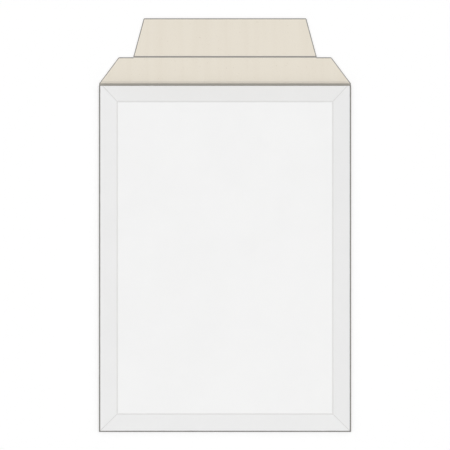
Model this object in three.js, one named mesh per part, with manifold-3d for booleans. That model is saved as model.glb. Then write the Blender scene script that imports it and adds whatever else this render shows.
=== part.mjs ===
// A cardboard envelope for A2 sheets, lying on its back with its closing flap folded open.
//
// It is die-cut from one sheet of solid board, white outside and beige inside. The back panel lies
// flat. The front panel stands up from it on a sloping border, scored all round and mitred at the
// corners, so that the pocket takes flat contents up to about 30 mm thick. The front and back are
// one sheet at the bottom fold, and are glued together by a narrow lap down each side. At the
// mouth the back panel runs on into the closing flap: a shoulder as long as the border's slope,
// with bevelled ends, and a narrower tongue beyond it.
//
// Units are millimetres. +Z is up, +Y points to the flap, and the origin is the centre of the
// back panel's underside.

import * as THREE from "three";
import { mergeVertices } from "three/addons/utils/BufferGeometryUtils.js";
import Module from "manifold-3d";

// Driving dimensions of the pocket
const BOARD = 1.2; // thickness of the board
const POCKET_WIDTH = 450;
const POCKET_LENGTH = 625; // bottom fold to the flap's crease
const DEPTH = 33; // underside of the back to the top of the front
const BORDER = 33; // the sloping border seen from above, at the sides and the bottom
const MOUTH_BORDER = 35.7; // the flap's crease to the front's upper crease, seen from above
const MOUTH_CUTBACK = 7.2; // the front's free edge stops this far short of the flap's crease
const GLUE_LAP = 14; // width of the glued lap inside each side fold
const LAP_END_BEVEL = 9; // how far each lap's ends are cut back at its inner edge
const BACK_INSET = 0.4; // the back's cut edges stand this far inside the folds above them

// Driving dimensions of the closing flap
const SHOULDER_LENGTH = 44.75;
const SHOULDER_TIP_WIDTH = 378;
const SHOULDER_FOOT_WIDTH = 448.6; // where its bevelled ends reach the pocket's corners
const SHOULDER_FOOT_BELOW_CREASE = 2.5;
const TONGUE_LENGTH = 68.65;
const TONGUE_ROOT_WIDTH = 327.4;
const TONGUE_TIP_WIDTH = 290;
const CUT_CORNER = 1.5; // radius of the die-cut corners

// Driving dimensions of the scored creases
const CREASE_HALF_WIDTH = 1.6;
const CREASE_DEPTH = 0.35; // below the chord of the bend, on the outside
const CREASE_BEAD = 1.1; // half width of the bead on the inside of a bend
const MITRE_GROOVE_RADIUS = 1;
const MITRE_GROOVE_LIFT = 0.35; // the groove's axis stands this far above the mitred edge
const HINGE_GAP = 0.3; // between the two boards that meet at a crease which opens and closes
const HINGE_CHAMFER = 0.9; // width of the scored slopes on the fixed board's end there
const HINGE_RELIEF = 0.45; // depth of the slope on the inside, which the closed flap turns into

// How finely round stretches are cut into flats
const FOLD_SEGMENTS = 6;
const HINGE_SEGMENTS = 8;
const CORNER_SEGMENTS = 3;
const GROOVE_SIDES = 10;

const SINK = 0.2; // pieces of the folded sheet are fused by sinking one this far into the other
const BEYOND = 20; // cutting tools run this far past what they cut

// Places worked out from the driving dimensions
const SIDE = POCKET_WIDTH / 2;
const BOTTOM = -POCKET_LENGTH / 2;
const CREASE = POCKET_LENGTH / 2; // y of the crease between the back panel and the shoulder
const MOUTH = CREASE - MOUTH_CUTBACK; // y of the front's free edge
const TONGUE_CREASE = CREASE + SHOULDER_LENGTH;
const TIP = TONGUE_CREASE + TONGUE_LENGTH;
const HINGE_RADIUS = BOARD / 2;
const HINGE_FACE = HINGE_RADIUS + HINGE_GAP; // the fixed board ends this far short of the crease

const WHITE_BOARD = new THREE.MeshStandardMaterial({ color: 0xf1f1f0, roughness: 0.6, metalness: 0 });
const BEIGE_BOARD = new THREE.MeshStandardMaterial({ color: 0xe5ded0, roughness: 0.9, metalness: 0 });

const wasm = await Module();
wasm.setup();

// Solids and meshes

function solidOf(geometry) {
  geometry.deleteAttribute("normal");
  geometry.deleteAttribute("uv");
  const merged = mergeVertices(geometry, 1e-4);
  const mesh = new wasm.Mesh({
    numProp: 3,
    vertProperties: new Float32Array(merged.attributes.position.array),
    triVerts: new Uint32Array(merged.index.array),
  });
  return new wasm.Manifold(mesh);
}

function meshOf(name, solid, material) {
  const { vertProperties, triVerts } = solid.getMesh();
  const geometry = new THREE.BufferGeometry()
    .setAttribute("position", new THREE.BufferAttribute(vertProperties, 3))
    .setIndex(new THREE.BufferAttribute(triVerts, 1));
  geometry.computeVertexNormals();
  const mesh = new THREE.Mesh(geometry, material);
  mesh.name = name;
  return mesh;
}

// A flat board with the given outline, seen from above, between two heights.
function plate(outline, low, high) {
  const geometry = new THREE.ExtrudeGeometry(outline, {
    depth: high - low,
    bevelEnabled: false,
    curveSegments: CORNER_SEGMENTS,
  });
  return solidOf(geometry.translate(0, 0, low));
}

// A length of board along X, centred on x = 0, from its section in the YZ plane.
function bar(section, length) {
  const shape = new THREE.Shape(section);
  const geometry = new THREE.ExtrudeGeometry(shape, { depth: length, bevelEnabled: false });
  const yAlongY = new THREE.Vector3(0, 1, 0);
  const zAlongZ = new THREE.Vector3(0, 0, 1);
  const xAlongX = new THREE.Vector3(1, 0, 0);
  geometry.translate(0, 0, -length / 2);
  return solidOf(geometry.applyMatrix4(new THREE.Matrix4().makeBasis(yAlongY, zAlongZ, xAlongX)));
}

// An outline through the given corners, each one rounded off by its own radius.
function roundedOutline(corners) {
  const shape = new THREE.Shape();
  corners.forEach(([x, y, radius = 0], i) => {
    const corner = new THREE.Vector2(x, y);
    const towards = ([nx, ny]) => new THREE.Vector2(nx, ny).sub(corner).setLength(radius).add(corner);
    const start = towards(corners.at(i - 1));
    const end = towards(corners[(i + 1) % corners.length]);
    if (i === 0) shape.moveTo(start.x, start.y);
    else shape.lineTo(start.x, start.y);
    if (radius > 0) shape.quadraticCurveTo(corner.x, corner.y, end.x, end.y);
  });
  shape.closePath();
  return shape;
}

function arc(centreX, centreY, radius, fromAngle, toAngle, segments) {
  return Array.from({ length: segments + 1 }, (_, i) => {
    const angle = fromAngle + ((toAngle - fromAngle) * i) / segments;
    return new THREE.Vector2(centreX + radius * Math.cos(angle), centreY + radius * Math.sin(angle));
  });
}

// The front panel and its mitred border

// The border rises from the side fold to the front panel's crease. Its outer face is tangent to
// the fold, a circle of one board's radius that rests on the back panel.
const FOLD_CENTRE = new THREE.Vector2(BOARD, 2 * BOARD); // inset from the edge, height
const SHELL_CREASE = new THREE.Vector2(BORDER, DEPTH);
const SLOPE = (() => {
  const reach = SHELL_CREASE.clone().sub(FOLD_CENTRE);
  return Math.acos(BOARD / reach.length()) - Math.atan2(reach.x, reach.y);
})();

const outerFaceHeight = (inset) => DEPTH + (inset - BORDER) * Math.tan(SLOPE);
const innerFaceHeight = (inset) => outerFaceHeight(inset) - BOARD / Math.cos(SLOPE);

// The section of the folded front, as (inset from the edge, height) from the panel's outer face
// down to the fold and back up inside to the panel's inner face.
function shellSection() {
  const upSlope = new THREE.Vector2(Math.cos(SLOPE), Math.sin(SLOPE));
  const point = (x, y) => new THREE.Vector2(x, y);

  const onPanel = point(BORDER + CREASE_HALF_WIDTH, DEPTH);
  const onSlope = SHELL_CREASE.clone().addScaledVector(upSlope, -CREASE_HALF_WIDTH);
  const chord = onSlope.clone().sub(onPanel);
  const intoBoard = point(-chord.y, chord.x).normalize();
  const channelShares = [0, 0.25, 0.5, 0.75, 1];
  const channel = channelShares.map((share) =>
    onPanel
      .clone()
      .addScaledVector(chord, share)
      .addScaledVector(intoBoard, CREASE_DEPTH * Math.sin(Math.PI * share)),
  );

  const tangent = Math.PI / 2 + SLOPE;
  const fold = arc(FOLD_CENTRE.x, FOLD_CENTRE.y, BOARD, tangent, 1.5 * Math.PI, FOLD_SEGMENTS);
  const footInset = 2 * BOARD;
  const foot = [
    point(BOARD, BOARD - SINK),
    point(footInset, BOARD - SINK),
    point(footInset, innerFaceHeight(footInset)),
  ];

  const innerCrease = point(BORDER + BOARD * Math.tan(SLOPE / 2), DEPTH - BOARD);
  const bead = [
    innerCrease.clone().addScaledVector(upSlope, -CREASE_BEAD),
    innerCrease.clone().add(point(CREASE_BEAD, 0)),
  ];
  return [...channel, ...fold, ...foot, ...bead];
}

// A mitred sweep: each point of the section runs round the pocket as a rectangle, and the first
// and last rectangles are closed by the front panel's two faces.
function mitredShell(section) {
  const mouthScale = MOUTH_BORDER / BORDER;
  const vertices = section.flatMap(({ x: inset, y: height }) => {
    const side = SIDE - inset;
    const low = BOTTOM + inset;
    const high = CREASE - inset * mouthScale;
    return [-side, low, height, side, low, height, side, high, height, -side, high, height];
  });
  const cornersPerRing = 4;
  const lastRing = (section.length - 1) * cornersPerRing;
  const outerPanel = [0, 1, 2, 0, 2, 3];
  const innerPanel = [0, 2, 1, 0, 3, 2].map((corner) => lastRing + corner);
  const faces = [...outerPanel, ...innerPanel];
  for (let ring = 0; ring < lastRing; ring += cornersPerRing) {
    for (let corner = 0; corner < cornersPerRing; corner++) {
      const next = (corner + 1) % cornersPerRing;
      const [a, b] = [ring + corner, ring + next];
      const [c, d] = [a + cornersPerRing, b + cornersPerRing];
      faces.push(a, c, d, a, d, b);
    }
  }
  const geometry = new THREE.BufferGeometry()
    .setAttribute("position", new THREE.Float32BufferAttribute(vertices, 3))
    .setIndex(faces);
  return solidOf(geometry);
}

// The scored groove along each mitred edge of the border, from the corner fold to the front's crease.
function mitreGrooves() {
  const foldInset = FOLD_CENTRE.x - BOARD * Math.sin(SLOPE);
  const corners = [
    { x: -1, edge: BOTTOM, into: 1 },
    { x: 1, edge: BOTTOM, into: 1 },
    { x: -1, edge: CREASE, into: -MOUTH_BORDER / BORDER },
    { x: 1, edge: CREASE, into: -MOUTH_BORDER / BORDER },
  ];
  const onMitre = ({ x, edge, into }, inset) =>
    new THREE.Vector3(x * (SIDE - inset), edge + into * inset, outerFaceHeight(inset) + MITRE_GROOVE_LIFT);
  return corners.map((corner) => {
    const foot = onMitre(corner, foldInset);
    const head = onMitre(corner, BORDER);
    const along = head.clone().sub(foot);
    const radius = MITRE_GROOVE_RADIUS;
    const groove = new THREE.CylinderGeometry(radius, radius, along.length(), GROOVE_SIDES);
    const cylinderAxis = new THREE.Vector3(0, 1, 0);
    const turn = new THREE.Quaternion().setFromUnitVectors(cylinderAxis, along.normalize());
    groove.applyQuaternion(turn).translate(...foot.add(head).multiplyScalar(0.5).toArray());
    return solidOf(groove);
  });
}

function frontShell() {
  const overMouth = roundedOutline([
    [-SIDE - BEYOND, MOUTH],
    [SIDE + BEYOND, MOUTH],
    [SIDE + BEYOND, CREASE + BEYOND],
    [-SIDE - BEYOND, CREASE + BEYOND],
  ]);
  const shell = mitredShell(shellSection());
  const grooved = mitreGrooves().reduce((cut, groove) => cut.subtract(groove), shell);
  return grooved.subtract(plate(overMouth, -BEYOND, DEPTH + BEYOND));
}

// The back panel, the bottom fold and the glued laps

// Half the flap's width at a height y: one straight line runs from the pocket's corner along the
// shoulder's bevelled end.
function shoulderHalfWidth(y) {
  const foot = CREASE - SHOULDER_FOOT_BELOW_CREASE;
  const share = (y - foot) / (TONGUE_CREASE - foot);
  return THREE.MathUtils.lerp(SHOULDER_FOOT_WIDTH, SHOULDER_TIP_WIDTH, share) / 2;
}

function backPanel() {
  const top = CREASE - HINGE_FACE;
  const foot = CREASE - SHOULDER_FOOT_BELOW_CREASE;
  const half = SIDE - BACK_INSET;
  const outline = roundedOutline([
    [-half, BOTTOM + BOARD],
    [half, BOTTOM + BOARD],
    [half, foot],
    [shoulderHalfWidth(top), top],
    [-shoulderHalfWidth(top), top],
    [-half, foot],
  ]);
  return scored(plate(outline, 0, BOARD), CREASE);
}

// The board turns back on itself round the bottom edge: its nose stands two boards high.
function bottomFold() {
  const y = BOTTOM + BOARD;
  const upper = arc(y, FOLD_CENTRE.y, BOARD, 0, Math.PI, FOLD_SEGMENTS);
  const lower = arc(y, BOARD, BOARD, Math.PI, 2 * Math.PI, FOLD_SEGMENTS);
  return bar([...upper, ...lower], POCKET_WIDTH - 2 * BACK_INSET);
}

function glueLap(side) {
  const outer = side * (SIDE - FOLD_CENTRE.x);
  const inner = side * (SIDE - GLUE_LAP);
  const corners = [
    [outer, BOTTOM + 2 * BOARD],
    [inner, BOTTOM + 2 * BOARD + LAP_END_BEVEL],
    [inner, MOUTH - LAP_END_BEVEL],
    [outer, MOUTH],
  ];
  return plate(roundedOutline(side < 0 ? corners : corners.reverse()), BOARD - SINK, 2 * BOARD);
}

// The closing flap

// What a scored crease takes off the fixed board's end: a shallow channel on the outside, and on the
// inside the hollow where the crushed board makes room for the panel that folds up.
function scoredEnd(crease) {
  const end = crease - HINGE_FACE;
  const wedge = (depth, level) =>
    bar(
      [
        new THREE.Vector2(end - HINGE_CHAMFER, level(0)),
        new THREE.Vector2(end - HINGE_CHAMFER, level(-BEYOND)),
        new THREE.Vector2(end + BEYOND, level(-BEYOND)),
        new THREE.Vector2(end + BEYOND, level(depth + (depth * BEYOND) / HINGE_CHAMFER)),
      ],
      POCKET_WIDTH + 2 * BEYOND,
    );
  const fromOutside = (z) => z;
  const fromInside = (z) => BOARD - z;
  return [wedge(CREASE_DEPTH, fromOutside), wedge(HINGE_RELIEF, fromInside)];
}

function scored(board, crease) {
  return scoredEnd(crease).reduce((cut, wedge) => cut.subtract(wedge), board);
}

// A flat board that turns about the crease at its root, which is rounded about the crease's line.
function hingedBoard(root, end, outline) {
  const rounded = arc(root, HINGE_RADIUS, HINGE_RADIUS, Math.PI / 2, 1.5 * Math.PI, HINGE_SEGMENTS);
  const section = [...rounded, new THREE.Vector2(end, 0), new THREE.Vector2(end, BOARD)];
  return bar(section, POCKET_WIDTH).intersect(plate(outline, -BEYOND, BEYOND));
}

function closingFlap() {
  const root = CREASE - HINGE_RADIUS;
  const end = TONGUE_CREASE - HINGE_FACE;
  const outline = roundedOutline([
    [-shoulderHalfWidth(root), root],
    [shoulderHalfWidth(root), root],
    [shoulderHalfWidth(end), end, CUT_CORNER],
    [-shoulderHalfWidth(end), end, CUT_CORNER],
  ]);
  return scored(hingedBoard(CREASE, end, outline), TONGUE_CREASE);
}

function tuckTongue() {
  const root = TONGUE_CREASE - HINGE_RADIUS;
  const outline = roundedOutline([
    [-TONGUE_ROOT_WIDTH / 2, root],
    [TONGUE_ROOT_WIDTH / 2, root],
    [TONGUE_TIP_WIDTH / 2, TIP, CUT_CORNER],
    [-TONGUE_TIP_WIDTH / 2, TIP, CUT_CORNER],
  ]);
  return hingedBoard(TONGUE_CREASE, TIP, outline);
}

// The envelope

const pocket = [bottomFold(), glueLap(-1), glueLap(1), frontShell()].reduce(
  (sheet, piece) => sheet.add(piece),
  backPanel(),
);

const envelope = new THREE.Group();
envelope.add(meshOf("pocket", pocket, WHITE_BOARD));
envelope.add(meshOf("closing_flap", closingFlap(), BEIGE_BOARD));
envelope.add(meshOf("tuck_tongue", tuckTongue(), BEIGE_BOARD));

export default envelope;
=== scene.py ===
import math

import bpy
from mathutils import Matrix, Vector, noise


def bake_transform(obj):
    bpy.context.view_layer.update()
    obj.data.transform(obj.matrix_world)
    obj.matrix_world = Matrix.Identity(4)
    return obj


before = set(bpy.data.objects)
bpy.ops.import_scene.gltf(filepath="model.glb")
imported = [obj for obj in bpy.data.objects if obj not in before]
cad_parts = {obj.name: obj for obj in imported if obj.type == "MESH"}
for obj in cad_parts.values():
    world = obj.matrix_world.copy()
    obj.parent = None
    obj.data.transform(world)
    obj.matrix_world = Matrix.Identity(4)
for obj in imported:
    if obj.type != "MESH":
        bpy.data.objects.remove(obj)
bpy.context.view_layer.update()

# Driving dimensions of the envelope, in metres, the same as the solids'
MM = 0.001
BOARD = 1.2 * MM  # thickness of the board
SIDE = 225 * MM  # half the pocket's width
CREASE = 312.5 * MM  # y of the crease between the pocket and the flap's shoulder
BOTTOM = -CREASE  # y of the bottom fold
MOUTH = 305.3 * MM  # y of the front's free edge
DEPTH = 33 * MM  # height of the front panel
BORDER = 33 * MM  # width of the sloping border seen from above, at the sides and the bottom
MOUTH_BORDER = 35.7 * MM  # its width at the mouth
TONGUE_CREASE = 357.25 * MM  # y of the crease between the shoulder and the tongue
TIP = 425.9 * MM  # y of the tongue's far edge
HINGE_FACE = 0.9 * MM  # at a crease the fixed board ends this far short of it

# Ends of the flap's slanted sides, as (y, half the flap's width there)
SHOULDER_FOOT = (310 * MM, 224.3 * MM)
SHOULDER_FAR = (TONGUE_CREASE, 189 * MM)
TONGUE_ROOT = (TONGUE_CREASE, 163.7 * MM)
TONGUE_TIP = (TIP, 145 * MM)

# The border's outer face is tangent to the side fold, a circle of one board's radius, whose centre
# is one board in from the edge and two boards up
FOLD_TO_PANEL = BORDER - BOARD
FOLD_TO_TOP = DEPTH - 2 * BOARD
SLOPE = math.acos(BOARD / math.hypot(FOLD_TO_PANEL, FOLD_TO_TOP)) - math.atan2(FOLD_TO_PANEL, FOLD_TO_TOP)

# Colours, linear
WHITE_LINER = (0.885, 0.885, 0.883, 1)
BEIGE_LINER = (0.783, 0.727, 0.628, 1)
BEIGE_STREAK = (0.73, 0.665, 0.56, 1)
BEIGE_FIBRE = (0.86, 0.81, 0.71, 1)
FLECK = (0.50, 0.42, 0.32, 1)
RAW_EDGE = (0.42, 0.36, 0.29, 1)
RAW_PLY = (0.56, 0.49, 0.40, 1)
# Darker tone of the score lines: partly the crushed fibre's own, partly painted shade in the score
CREASE_SHADE = (0.62, 0.615, 0.60, 1)
# Dark band along folds and outlines: partly bared core, partly painted edge shade; also the painted shade
# in the mouth's throat
WORN_AND_SHADED = (0.18, 0.175, 0.167, 1)
WORN_AND_SHADED_FIBRE = (0.27, 0.262, 0.248, 1)
WHITE = (1, 1, 1, 1)
CLOUD_DIMMEST = 0.985  # the white liner's darkest patches, against its palest

# The board's gloss and relief
COATED_ROUGHNESS = (0.52, 0.62)
UNCOATED_ROUGHER = 0.3  # added to it where the board has no coating
FIBRE_RELIEF = 0.016 * MM
UNCOATED_RELIEF = 0.05 * MM  # added to it there
CLOUD_RELIEF = 0.18 * MM
PLY_RELIEF = 0.12 * MM
BUMP_STRENGTH = 0.8

# The board's wear, and the painted shade along its edges
POCKET_WEAR_AND_SHADE = 2.3 * MM  # width of the dark band along the pocket's folds, partly rubbed-off liner and partly painted edge shade
FLAP_WEAR_AND_SHADE = 1.5 * MM  # its width along the flap's outline
FRAY_BENDS = 0.5 * MM  # the band's border swings by this in slow bends
FRAY_FIBRES = 0.7 * MM  # and by this from fibre to fibre
FRAY_SOFT = 0.25 * MM  # and it fades out over twice this
CUT_SPARED = 0.75  # the share of the wear and painted edge shade that a cut edge, which has no liner, doesn't show

# Limits that the masks share, some of them with how softly they turn there
SHARP = 0.02 * MM
MOST_NOISE = (0.3, 0.7)  # nearly all values of a noise lie between these
FACING = (0.6, 0.1)  # share of the normal along an axis from which a face counts as facing it


class Nodes:
    """A node tree, with short calls for the nodes that the scene needs."""

    def __init__(self, tree):
        self.tree = tree

    def put(self, socket, value):
        """Links another node's output to the socket, or sets a constant on it."""
        if isinstance(value, bpy.types.NodeSocket):
            self.tree.links.new(value, socket)
        else:
            socket.default_value = value

    def add(self, kind, *values, **settings):
        """A new node with these settings, whose first sockets take the values."""
        node = self.tree.nodes.new("ShaderNode" + kind)
        for name, setting in settings.items():
            setattr(node, name, setting)
        for socket, value in zip(node.inputs, values):
            self.put(socket, value)
        return node

    def compute(self, operation, *values):
        return self.add("Math", *values, operation=operation).outputs[0]

    def chain(self, operation, first, *others):
        found = first
        for value in others:
            found = self.compute(operation, found, value)
        return found

    def greatest(self, *values):
        return self.chain("MAXIMUM", *values)

    def least(self, *values):
        return self.chain("MINIMUM", *values)

    def product(self, *values):
        return self.chain("MULTIPLY", *values)

    def total(self, *values):
        return self.chain("ADD", *values)

    def minus(self, a, b):
        return self.compute("SUBTRACT", a, b)

    def magnitude(self, value):
        return self.compute("ABSOLUTE", value)

    def ramp(self, value, low, high, start=0.0, end=1.0):
        """Goes smoothly from start at low to end at high."""
        node = self.add("MapRange", value, low, high, start, end, interpolation_type="SMOOTHSTEP")
        return node.outputs[0]

    def over(self, value, limit, soft=SHARP):
        return self.ramp(value, limit - soft, limit + soft)

    def under(self, value, limit, soft=SHARP):
        return self.ramp(value, limit - soft, limit + soft, start=1.0, end=0.0)

    def seeing_rays(self):
        """1 for the rays that show a thing, straight or in a reflection, and 0 for those that light."""
        rays = self.add("LightPath").outputs
        return self.greatest(rays["Is Camera Ray"], rays["Is Glossy Ray"], rays["Is Transmission Ray"])


class Material(Nodes):
    """A material's node tree."""

    def __init__(self, name):
        self.material = bpy.data.materials.new(name)
        self.material.use_nodes = True
        super().__init__(self.material.node_tree)

    def give(self, socket, value):
        """Sets one of the surface's own sockets."""
        self.put(self.tree.nodes["Principled BSDF"].inputs[socket], value)

    def mix(self, share, a, b, how="MIX"):
        node = self.add("Mix", share, data_type="RGBA", blend_type=how)
        first, second = [socket for socket in node.inputs if socket.type == "RGBA"]
        self.put(first, a)
        self.put(second, b)
        return next(socket for socket in node.outputs if socket.type == "RGBA")

    def grey(self, value):
        return self.add("CombineColor", value, value, value).outputs[0]

    def attribute(self, name):
        """A number that the mesh stores at its points."""
        return self.add("Attribute", attribute_name=name).outputs["Fac"]


class Board(Material):
    """Solid board with a white liner outside, a beige one inside, and a grey-brown core."""

    def __init__(self, name):
        super().__init__(name)
        coordinates = self.add("TexCoord").outputs
        self.point = coordinates["Object"]
        self.x, self.y, self.z = self.add("SeparateXYZ", self.point).outputs
        self.facing = self.add("SeparateXYZ", coordinates["Normal"]).outputs

    def noise(self, scale, detail, roughness, stretch=(1, 1, 1)):
        """Noise through the board, with about scale cells to the metre."""
        mapping = self.add("Mapping", self.point)
        self.put(mapping.inputs["Scale"], stretch)
        node = self.add("TexNoise", mapping.outputs[0])
        self.put(node.inputs["Scale"], scale)
        self.put(node.inputs["Detail"], detail)
        self.put(node.inputs["Roughness"], roughness)
        return node.outputs["Fac"]

    def swing(self, pattern, size):
        """A length that goes half its size to either side of nothing, as the pattern does."""
        return self.compute("MULTIPLY_ADD", pattern, size, -size / 2)

    def wandering(self, distance):
        """The distance, made uneven as the border of a rubbed liner is."""
        bends = self.swing(self.noise(scale=90, detail=2, roughness=0.5), FRAY_BENDS)
        fibres = self.swing(self.noise(scale=2300, detail=3, roughness=0.7), FRAY_FIBRES)
        return self.total(bends, fibres, distance)

    def frayed(self, distance, reach):
        """Full from an edge to its reach, with a ragged border."""
        return self.under(self.wandering(distance), reach, FRAY_SOFT)

    def spared(self, worn_and_shaded, edge):
        """The wear and painted edge shade, less what cut edges are spared."""
        return self.product(worn_and_shaded, self.compute("MULTIPLY_ADD", edge, -CUT_SPARED, 1.0))

    def white_liner(self, cloud):
        dim = self.ramp(cloud, *MOST_NOISE, start=CLOUD_DIMMEST)
        return self.mix(1.0, WHITE_LINER, self.grey(dim), "MULTIPLY")

    def beige_liner(self, fibre):
        """Beige with faint streaks, dark flecks and pale fibres."""
        streak = self.noise(scale=60, detail=3, roughness=0.5, stretch=(1, 0.06, 1))
        speck = self.noise(scale=420, detail=2, roughness=0.5)
        colour = self.mix(self.ramp(streak, low=0.35, high=0.75, end=0.35), BEIGE_LINER, BEIGE_STREAK)
        colour = self.mix(self.ramp(speck, low=0.68, high=0.78, end=0.55), colour, FLECK)
        return self.mix(self.ramp(fibre, *MOST_NOISE, end=0.22), colour, BEIGE_FIBRE)

    def raw_edge(self, ply):
        return self.mix(self.ramp(ply, low=0.35, high=0.65), RAW_EDGE, RAW_PLY)

    def worn_and_shaded_core(self):
        # The dark band's colour: bared core where worn, and painted shade
        bared = self.noise(scale=3200, detail=3, roughness=0.6)
        return self.mix(self.ramp(bared, low=0.4, high=0.7), WORN_AND_SHADED, WORN_AND_SHADED_FIBRE)

    def finished(self, inside, edge, crease, worn_and_shaded):
        """The material, from the masks of the board's faces, of its wear and of its painted shade."""
        cloud = self.noise(scale=14, detail=4, roughness=0.55)
        fibre = self.noise(scale=900, detail=5, roughness=0.65, stretch=(1, 0.35, 1))
        ply = self.noise(scale=260, detail=3, roughness=0.6, stretch=(0.12, 0.12, 9))

        colour = self.mix(inside, self.white_liner(cloud), self.beige_liner(fibre))
        colour = self.mix(edge, colour, self.raw_edge(ply))
        colour = self.mix(crease, colour, CREASE_SHADE)
        colour = self.mix(worn_and_shaded, colour, self.worn_and_shaded_core())
        self.give("Base Color", colour)

        uncoated = self.greatest(inside, edge)
        coated = self.ramp(fibre, *MOST_NOISE, *COATED_ROUGHNESS)
        self.give("Roughness", self.compute("MULTIPLY_ADD", uncoated, UNCOATED_ROUGHER, coated))

        fibre_relief = self.compute("MULTIPLY_ADD", uncoated, UNCOATED_RELIEF, FIBRE_RELIEF)
        relief = self.total(
            self.product(fibre, fibre_relief),
            self.product(cloud, CLOUD_RELIEF),
            self.product(ply, edge, PLY_RELIEF),
        )
        bump = self.add("Bump")
        self.put(bump.inputs["Strength"], BUMP_STRENGTH)
        self.put(bump.inputs["Distance"], 1.0)  # the relief is already in metres
        self.put(bump.inputs["Height"], relief)
        self.give("Normal", bump.outputs[0])
        return self.material


# Where the faces of the pocket's board part
CORE = 0.8 * BOARD  # a surface this far under the front's outer face, within the board
LINER = 0.95 * MM  # height over that surface from which a cut shows the white liner
UNDERSIDE = 0.3 * MM  # height up to which the back panel is white
OVER_BACK = 1.25 * MM  # just over the back panel's upper face
WITHIN_BACK = 1.18 * MM  # just under it
SIDE_SKIN = 1.3 * MM  # how far in from the side the side fold's outer skin reaches
BOTTOM_SKIN = 1.25 * MM  # and in from the bottom, the bottom fold's
BACK_CUT = 0.45 * MM  # the back panel's cut sides lie this close to the pocket's sides
BACK_CUT_START = 1.3 * MM  # and start this far in from the bottom, past its fold
FREE_EDGE = MOUTH - 0.1 * MM  # just short of the front's free edge
FACING_MOUTH = 0.9  # share of the normal along y on that edge
FACING_SLANT = (0.5, 0.1)  # share of it along x on the back panel's slanted ends

# The pocket's creases, and its wear and painted shade, each place with how softly it ends
FRONT_CREASE = (1.1 * MM, 0.7 * MM)
MITRE_CREASE = (0.9 * MM, 0.5 * MM)
POCKET_CREASE_TONE = 0.6
BAND_FOOT = (1.1 * MM, 0.15 * MM)  # the folds' band of wear and painted edge shade starts at this height
# Painted shade in the mouth's recess: the back panel's strip between the front's free edge and the crease
# is darkened
THROAT_START = (MOUTH - 4 * MM, 4 * MM)
THROAT_END = (CREASE - 1.1 * MM, 1.1 * MM)
THROAT_PAINTED_SHADE = 0.64


class PocketBoard(Board):
    """The pocket's board, with the distances that its masks share."""

    def __init__(self, name):
        super().__init__(name)
        self.from_side = self.minus(SIDE, self.magnitude(self.x))
        self.from_bottom = self.minus(self.y, BOTTOM)
        from_mouth = self.compute("DIVIDE", self.minus(CREASE, self.y), MOUTH_BORDER / BORDER)
        self.from_ends = self.least(self.from_bottom, from_mouth)
        self.inset = self.least(self.from_side, self.from_ends)
        self.over_core = self.minus(self.z, self.core_height())
        self.front = self.over(self.over_core, 0)

    def core_height(self):
        """Height of a surface within the front's board, which parts its outer face from its inner one."""
        rise = math.tan(SLOPE)
        at_outline = DEPTH - BORDER * rise - CORE / math.cos(SLOPE)
        return self.least(self.compute("MULTIPLY_ADD", self.inset, rise, at_outline), DEPTH - CORE)

    def outside(self):
        """The front's upper face, the back's underside and the outer skins of the folds."""
        underside = self.under(self.z, UNDERSIDE)
        side_fold = self.product(self.under(self.from_side, SIDE_SKIN), self.over(self.z, OVER_BACK))
        bottom_fold = self.under(self.from_bottom, BOTTOM_SKIN)
        return self.greatest(self.front, underside, side_fold, bottom_fold)

    def cut_edges(self):
        """The front's free edge under its liner, and the back panel's sides and slanted ends."""
        liner = self.product(self.front, self.over(self.over_core, LINER))
        towards_mouth = self.over(self.facing["Y"], FACING_MOUTH)
        free_edge = self.product(towards_mouth, self.over(self.y, FREE_EDGE), self.minus(1.0, liner))

        within_back = self.under(self.z, WITHIN_BACK)
        near_side = self.under(self.from_side, BACK_CUT)
        past_fold = self.over(self.from_bottom, BACK_CUT_START)
        back_sides = self.product(near_side, within_back, past_fold)

        sideways = self.over(self.magnitude(self.facing["X"]), *FACING_SLANT)
        foot_y, _ = SHOULDER_FOOT
        slanted_ends = self.product(sideways, self.over(self.y, foot_y), within_back)
        return self.greatest(free_edge, back_sides, slanted_ends)

    def creases(self):
        """The scored lines round the front panel and down the border's four mitres, darkened partly as
        crushed fibre and partly as painted shade in the score.
        """
        round_front = self.under(self.magnitude(self.minus(self.inset, BORDER)), *FRONT_CREASE)
        from_mitre = self.magnitude(self.minus(self.from_side, self.from_ends))
        mitres = self.product(self.under(from_mitre, *MITRE_CREASE), self.under(self.inset, BORDER))
        return self.product(self.greatest(round_front, mitres), self.front, POCKET_CREASE_TONE)

    def wear_and_shade(self, inside):
        """The dark band along the folds, partly rubbed liner and partly painted edge shade, and painted
        shade in the throat of the mouth.
        """
        over_foot = self.over(self.wandering(self.z), *BAND_FOOT)
        folds = self.product(self.frayed(self.inset, POCKET_WEAR_AND_SHADE), over_foot)
        # painted shade in the recess under the front's free edge
        along_throat = self.product(self.over(self.y, *THROAT_START), self.under(self.y, *THROAT_END))
        return self.greatest(folds, self.product(along_throat, inside, THROAT_PAINTED_SHADE))


def pocket_material():
    board = PocketBoard("pocket_board")
    inside = board.minus(1.0, board.outside())
    return board.finished(inside, board.cut_edges(), board.creases(), board.wear_and_shade(inside))


class SlantedSide:
    """Half the flap's width, as a straight line along y."""

    def __init__(self, near, far):
        (near_y, near_half), (far_y, far_half) = near, far
        self.lean = (far_half - near_half) / (far_y - near_y)
        self.at_origin = near_half - near_y * self.lean

    def half_width(self, y):
        return self.at_origin + self.lean * y


SHOULDER_SIDE = SlantedSide(SHOULDER_FOOT, SHOULDER_FAR)
TONGUE_SIDE = SlantedSide(TONGUE_ROOT, TONGUE_TIP)

# The flap's creases, and its wear and painted edge shade, each half width with how softly it ends
FLAP_CREASE = (1.6 * MM, 0.8 * MM)
FLAP_CREASE_TONE = 0.35
STRIP_CREASE = (1.5 * MM, 0.7 * MM)
STRIP_CREASE_TONE = 0.5
# half width of the crease line's dark core, partly rubbed and partly painted shade
STRIP_WEAR_AND_SHADE = (1.3 * MM, 0.5 * MM)
JOINED_SOFT = 0.3 * MM


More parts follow.
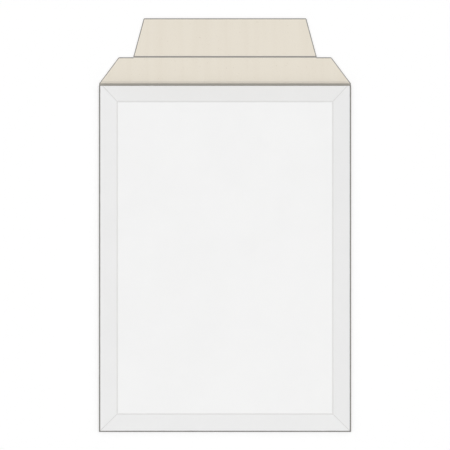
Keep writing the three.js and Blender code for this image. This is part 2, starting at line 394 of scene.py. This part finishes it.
def flap_material(name, side, end, joined_half=None):
    """Beige above, white below, raw where the die has cut it, and darkened along its outline, partly
    rubbed and partly painted edge shade.

    Within joined_half of the middle the next board carries on from this one's end, so the outline's band
    of wear and painted edge shade stops there.
    """
    board = Board(name)
    beige = board.over(board.z, BOARD / 2)
    edge = board.minus(1.0, board.over(board.magnitude(board.facing["Z"]), *FACING))

    from_middle = board.magnitude(board.x)
    half_width = board.compute("MULTIPLY_ADD", board.y, side.lean, side.at_origin)
    from_end = board.minus(end, board.y)
    if joined_half is not None:
        joined = board.under(from_middle, joined_half, JOINED_SOFT)
        from_end = board.compute("MULTIPLY_ADD", joined, SIDE, from_end)
    from_outline = board.least(board.minus(half_width, from_middle), from_end)
    worn_and_shaded = board.spared(board.frayed(from_outline, FLAP_WEAR_AND_SHADE), edge)

    # Darker near the tongue's crease: partly crushed fibre, partly painted shade in the score
    from_crease = board.magnitude(board.minus(board.y, TONGUE_CREASE))
    crease = board.product(board.under(from_crease, *FLAP_CREASE), FLAP_CREASE_TONE)
    return board.finished(beige, edge, crease, worn_and_shaded)


def strip_material(name, crease_darkening):
    """The finish of a crease strip, from the numbers that its mesh stores; its crease line is darkened
    partly as crushed fibre and partly as painted shade in the score.
    """
    board = Board(name)
    across = board.magnitude(board.attribute("across"))
    edge = board.over(board.magnitude(board.facing["X"]), *FACING)
    crease = board.product(board.under(across, *STRIP_CREASE), STRIP_CREASE_TONE * crease_darkening)
    along_crease = board.product(board.under(across, *STRIP_WEAR_AND_SHADE), crease_darkening)
    at_ends = board.frayed(board.attribute("from_end"), FLAP_WEAR_AND_SHADE)
    worn_and_shaded = board.spared(board.greatest(along_crease, at_ends), edge)
    return board.finished(board.attribute("beige"), edge, crease, worn_and_shaded)


# A crease strip's section, and how finely its mesh is cut
STATIONS = [step * MM for step in (0.2, 0.45, 0.7, 1.0, 1.35, 1.7, 2.2, 2.6)]  # to either side
LIP_FROM = 2.3 * MM  # beyond this the strip's skins turn into the boards that it joins
LIP_DEPTH = 0.05 * MM
INNER_PROUD = 0.055 * MM  # the strip stands this far over the boards inside
OUTER_PROUD = 0.012 * MM  # and outside
BEAD_HEIGHT = 0.26 * MM
BEAD_HALF_WIDTH = 0.75 * MM
FURROW_DEPTH = 0.05 * MM
FURROW_PLACE = 1.6 * MM
FURROW_HALF_WIDTH = 0.5 * MM
UNEVENNESS = 0.25
WAVES = 90  # to the metre, along the bead
CREASES_APART = 10  # keeps the two beads' waves from being alike
STRIP_COLUMNS = 180
STRIP_INSET = 0.03 * MM  # its ends stay this far inside the flap's sides
SMOOTH_UP_TO = 50  # degrees between faces


def inner_height(across, x, crease_y):
    """Height of the strip's inner skin, a low and slightly uneven bead between two faint furrows."""
    if abs(across) > LIP_FROM:
        return BOARD - LIP_DEPTH
    bead = BEAD_HEIGHT * math.exp(-((across / BEAD_HALF_WIDTH) ** 2))
    furrow = FURROW_DEPTH * math.exp(-(((abs(across) - FURROW_PLACE) / FURROW_HALF_WIDTH) ** 2))
    wobble = 1 + UNEVENNESS * noise.noise(Vector((x * WAVES, crease_y * CREASES_APART, 0)))
    return BOARD + INNER_PROUD + (bead - furrow) * wobble


def outer_height(across):
    return -OUTER_PROUD if abs(across) < LIP_FROM else LIP_DEPTH


def strip_mesh(name, crease_y, half_width, cut_from):
    """A closed strip along the crease, whose points store what its material needs."""
    vertices = []
    stored = {"across": [], "beige": [], "from_end": []}
    stations = [-station for station in reversed(STATIONS)] + [0] + STATIONS
    ring = [(across, True) for across in stations] + [(across, False) for across in reversed(stations)]
    for column in range(STRIP_COLUMNS + 1):
        share = 2 * column / STRIP_COLUMNS - 1
        for across, is_inner in ring:
            y = crease_y + across
            x = share * half_width(y)
            z = inner_height(across, x, crease_y) if is_inner else outer_height(across)
            vertices.append((x, y, z))
            stored["across"].append(across)
            stored["beige"].append(float(is_inner))
            stored["from_end"].append((1 - abs(share)) * half_width(y) if y > cut_from else SIDE)

    around = len(ring)
    faces = []
    for start in range(0, STRIP_COLUMNS * around, around):
        for i in range(around):
            a, b = start + i, start + (i + 1) % around
            faces.append((a, a + around, b + around, b))
    last = STRIP_COLUMNS * around
    faces.append(tuple(range(around)))
    faces.append(tuple(reversed(range(last, last + around))))

    mesh = bpy.data.meshes.new(name)
    mesh.from_pydata(vertices, [], faces)
    mesh.update()
    for attribute, values in stored.items():
        mesh.attributes.new(attribute, "FLOAT", "POINT").data.foreach_set("value", values)
    mesh.shade_smooth()
    mesh.set_sharp_from_angle(angle=math.radians(SMOOTH_UP_TO))
    return mesh


def new_object(name, data):
    created = bpy.data.objects.new(name, data)
    bpy.context.scene.collection.objects.link(created)
    return created


def crease_strip(name, crease_y, half_width, cut_from, crease_darkening):
    """The scored stretch of board that joins two panels: a low bead inside, and flat outside.

    Its ends count as cut where y is over cut_from.
    """
    mesh = strip_mesh(name, crease_y, half_width, cut_from)
    mesh.materials.append(strip_material(name, crease_darkening))
    strip = new_object(name, mesh)
    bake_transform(strip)


def mouth_crease_half(y):
    return SHOULDER_SIDE.half_width(y) - STRIP_INSET


def tongue_crease_half(y):
    """Half the tongue's width, drawn in over the shoulder, where the crease's end fades out."""
    past_shoulder_end = y - (TONGUE_CREASE - HINGE_FACE)
    return TONGUE_SIDE.half_width(max(y, TONGUE_CREASE)) - STRIP_INSET + min(past_shoulder_end, 0)


def dress(node, material):
    """Gives one of the solids its finish."""
    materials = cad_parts[node].data.materials
    materials.clear()
    materials.append(material)


def envelope():
    shoulder_end = TONGUE_CREASE - HINGE_FACE
    _, tongue_half = TONGUE_ROOT
    joined_half = tongue_half - 2 * JOINED_SOFT  # so the band of wear and painted edge shade reaches the tongue's corners
    dress("pocket", pocket_material())
    dress("closing_flap", flap_material("shoulder_board", SHOULDER_SIDE, shoulder_end, joined_half))
    dress("tuck_tongue", flap_material("tongue_board", TONGUE_SIDE, TIP))
    crease_strip(
        "mouth_crease",
        CREASE,
        mouth_crease_half,
        cut_from=BOTTOM,
        crease_darkening=0.12,
    )
    crease_strip(
        "tongue_crease",
        TONGUE_CREASE,
        tongue_crease_half,
        cut_from=shoulder_end,
        crease_darkening=0.9,
    )


# The studio: a pale floor, an even sky, a broad lamp overhead and a weaker one from the lower left
FLOOR_REACH = 12  # half its width
FLOOR_LEVEL = -0.02 * MM  # just under the envelope
FLOOR_GREY = (0.9, 0.9, 0.9, 1)
FLOOR_ROUGHNESS = 0.9
FLOOR_GLOW = 0.105  # only for the rays that show the floor, which makes it white
SKY_LIGHT = 0.68
SKY_SEEN = 1.0


def studio_floor():
    mesh = bpy.data.meshes.new("studio_floor")
    corners = [(-1, -1), (1, -1), (1, 1), (-1, 1)]
    vertices = [(x * FLOOR_REACH, y * FLOOR_REACH, FLOOR_LEVEL) for x, y in corners]
    mesh.from_pydata(vertices, [], [tuple(range(len(corners)))])
    paint = Material("studio_floor")
    paint.give("Base Color", FLOOR_GREY)
    paint.give("Roughness", FLOOR_ROUGHNESS)
    paint.give("Emission Color", WHITE)
    paint.give("Emission Strength", paint.product(paint.seeing_rays(), FLOOR_GLOW))
    mesh.materials.append(paint.material)
    floor = new_object("studio_floor", mesh)


def sky():
    world = bpy.data.worlds.new("studio")
    world.use_nodes = True
    bpy.context.scene.world = world
    nodes = Nodes(world.node_tree)
    background = nodes.tree.nodes["Background"]
    strength = nodes.ramp(nodes.seeing_rays(), low=0, high=1, start=SKY_LIGHT, end=SKY_SEEN)
    nodes.put(background.inputs["Strength"], strength)
    nodes.put(background.inputs["Color"], WHITE)


def lamp(name, direction, spread, strength):
    """A broad, far lamp that stands in this direction from the envelope and shines on it."""
    light = bpy.data.lights.new(name, "SUN")
    light.angle = math.radians(spread)
    light.energy = strength
    holder = new_object(name, light)
    holder.rotation_euler = (-Vector(direction)).to_track_quat("-Z", "Y").to_euler()


def studio():
    studio_floor()
    sky()
    lamp("overhead", direction=(0, 0, 1), spread=40, strength=0.88)
    lamp("lower_left", direction=(-0.40, -0.50, 1.05), spread=14, strength=0.11)


# The camera looks straight down on the envelope, from so far off that hardly anything seems to taper
PHOTO_WIDTH = 450  # pixels
PIXEL = 1.7857 * MM  # what one pixel of the photograph spans on the envelope
VIEW_CENTRE = 57.0 * MM  # y of the point in the middle of the view
LENS = 400  # millimetres
SENSOR = 36  # millimetres


def camera():
    data = bpy.data.cameras.new("camera")
    data.lens = LENS
    data.sensor_width = SENSOR
    holder = new_object("camera", data)
    holder.location = (0, VIEW_CENTRE, PHOTO_WIDTH * PIXEL * LENS / SENSOR)
    bpy.context.scene.camera = holder


envelope()
studio()
camera()
bpy.context.scene.view_settings.view_transform = "Standard"

bpy.context.view_layer.update()
